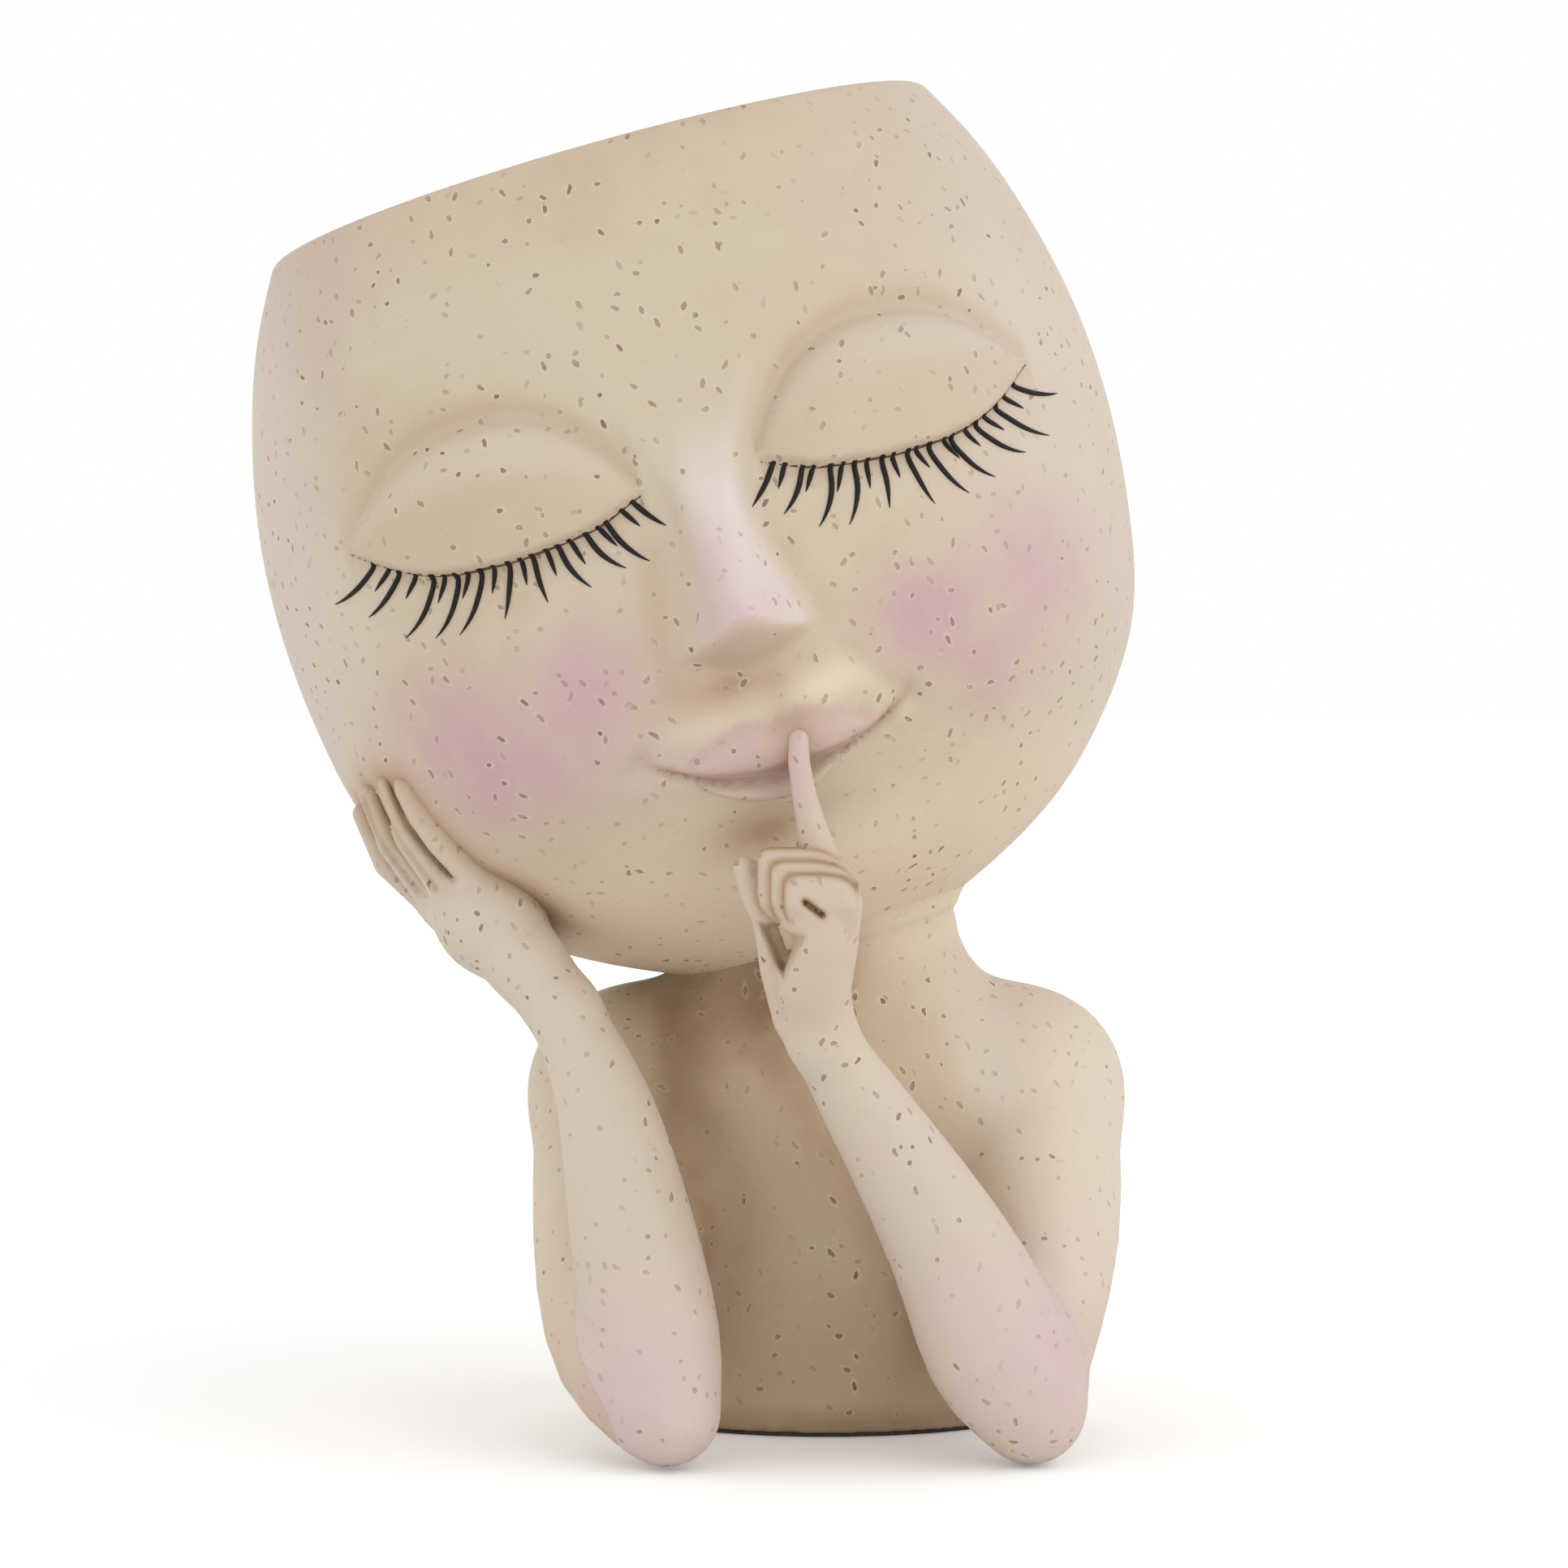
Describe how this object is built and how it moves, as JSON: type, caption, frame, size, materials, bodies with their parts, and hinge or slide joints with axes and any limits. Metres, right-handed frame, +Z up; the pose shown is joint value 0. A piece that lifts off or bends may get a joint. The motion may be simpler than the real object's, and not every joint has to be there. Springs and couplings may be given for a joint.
{
  "type": "head planter",
  "caption": "Plant pot shaped as a leaning head with closed eyes, held up by a small bust with folded arms: one hand on the cheek, one finger on the lips.",
  "frame": {"origin": "on the floor under the middle of the bust, on the underside of the base pad", "axes": "+Z up, the face looks along -Y, +X towards the figure's left shoulder"},
  "size_m": [0.1315, 0.1256, 0.1981],
  "materials": {
    "resin": "matte painted cast resin with pits and blush",
    "sleeve": "plain extruded tube",
    "dowel": "plain dowel",
    "plate": "matte sheet",
    "pad": "dark foam rubber",
    "plug": "soft matte rubber"
  },
  "bodies": {
    "planter": {"head_pot": "resin", "torso": "resin", "right_forearm": "resin", "left_forearm": "resin", "neck_sleeve": "sleeve", "right_elbow_dowel": "dowel", "left_elbow_dowel": "dowel", "base_plate": "plate", "base_pad": "pad"},
    "drain_plug": {"drain_plug": "plug"}
  },
  "joints": [
    {"name": "plug_lift", "type": "slide", "parent": "planter", "child": "drain_plug", "axis": [-0.2723, 0, 0.9622], "range_m": [0, 0.13]}
  ]
}
